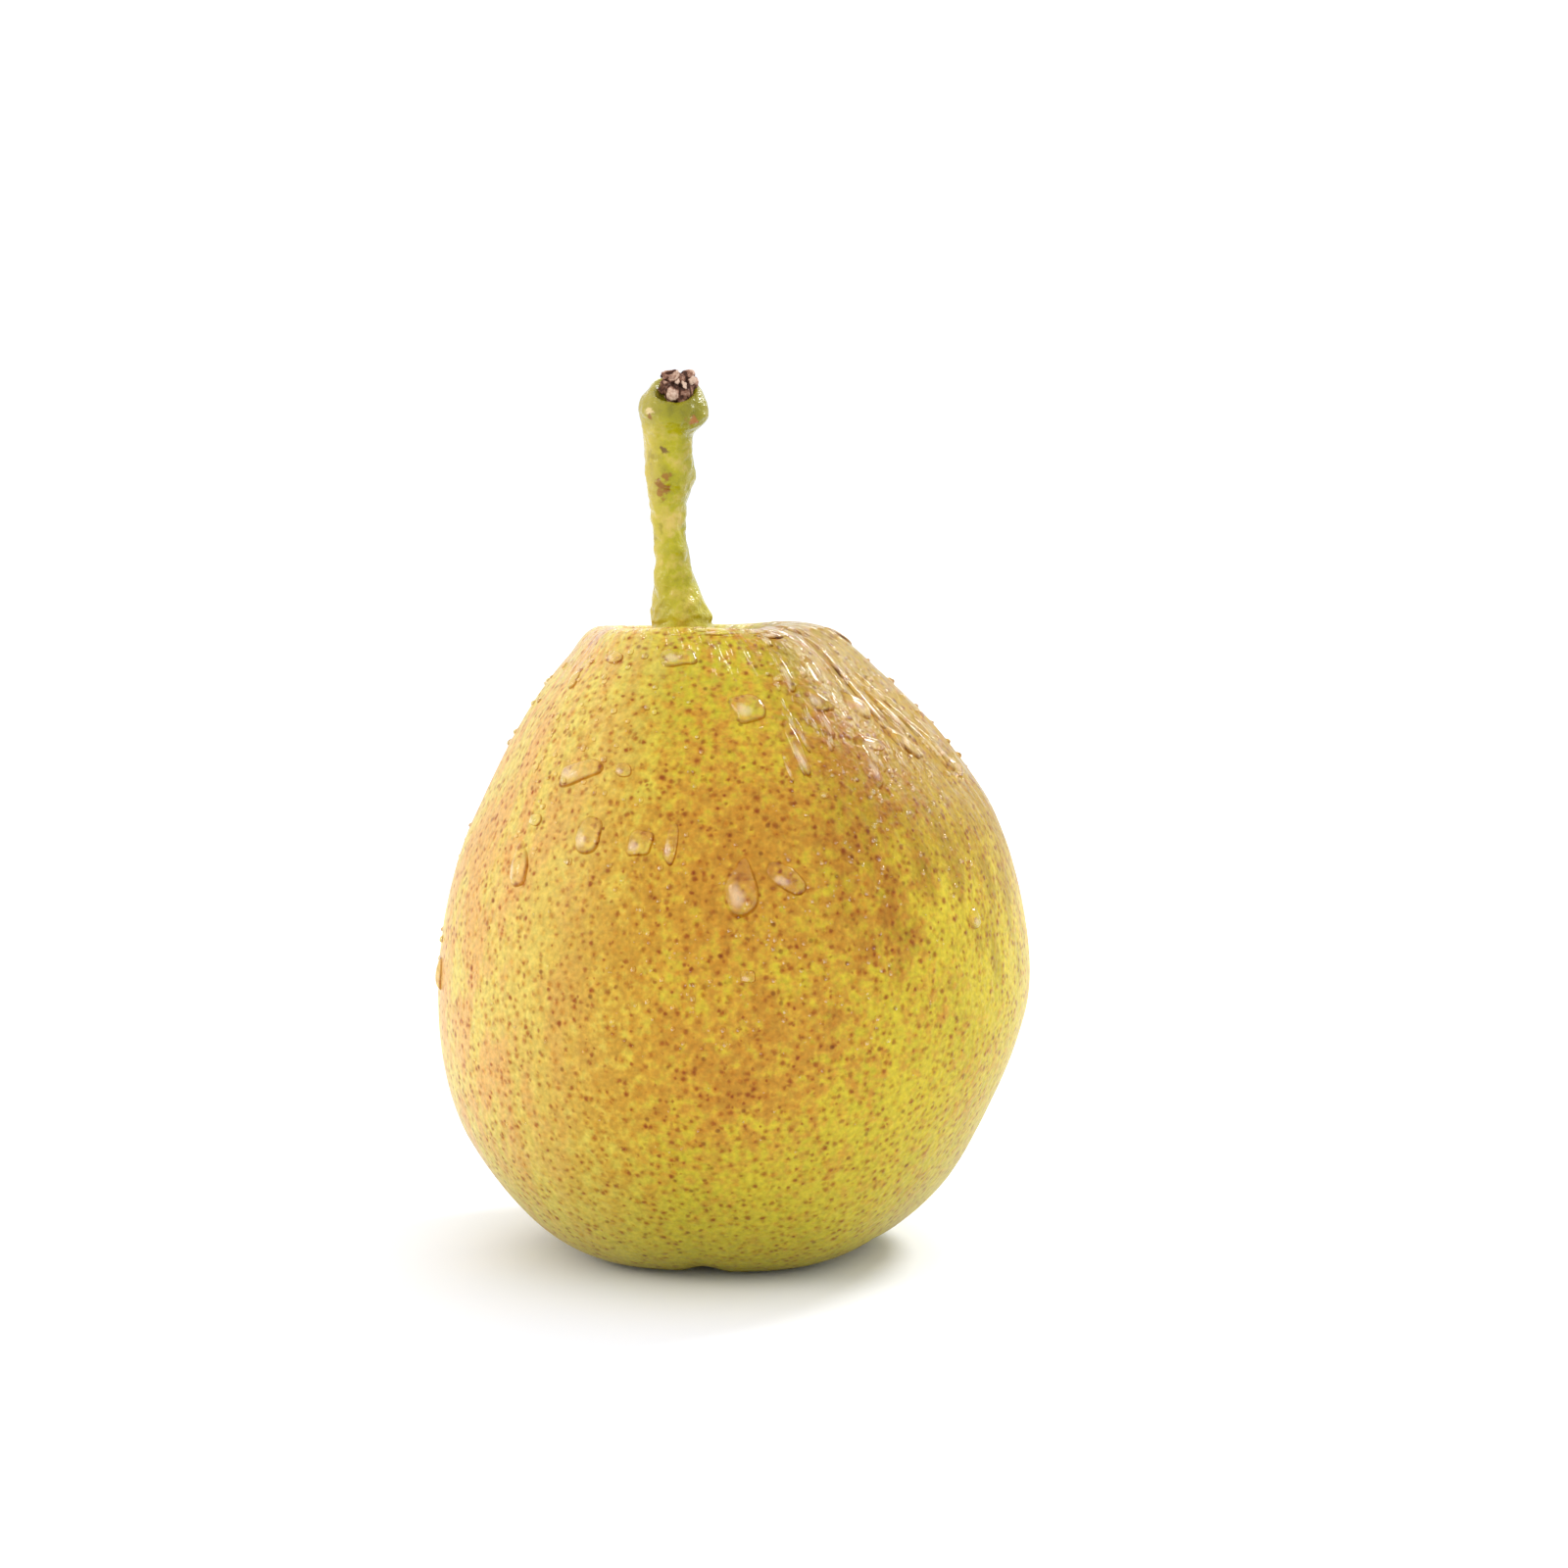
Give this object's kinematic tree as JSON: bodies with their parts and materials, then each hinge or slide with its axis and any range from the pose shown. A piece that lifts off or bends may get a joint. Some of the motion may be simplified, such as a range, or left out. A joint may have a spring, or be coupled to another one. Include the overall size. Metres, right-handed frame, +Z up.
{
  "type": "pear",
  "caption": "Small round fragrant pear with a thick fleshy stem, standing upright on the flat rim round its eye.",
  "frame": {"origin": "on the ground under the middle of the pear", "axes": "+Z up along the core towards the stem, front of the pear towards -Y, +X to the right of the front"},
  "size_m": [0.062, 0.062, 0.0924],
  "materials": {
    "skin": null,
    "green_stem": null,
    "cork": "dry crumbly brown cork",
    "dried_flower": "dry dark brown flower remains"
  },
  "bodies": {
    "root": {"pear_body": "skin", "stem": "green_stem", "stem_tip": "cork", "calyx": "dried_flower", "sepal_1": "dried_flower", "sepal_2": "dried_flower", "sepal_3": "dried_flower", "sepal_4": "dried_flower", "sepal_5": "dried_flower"}
  },
  "joints": []
}
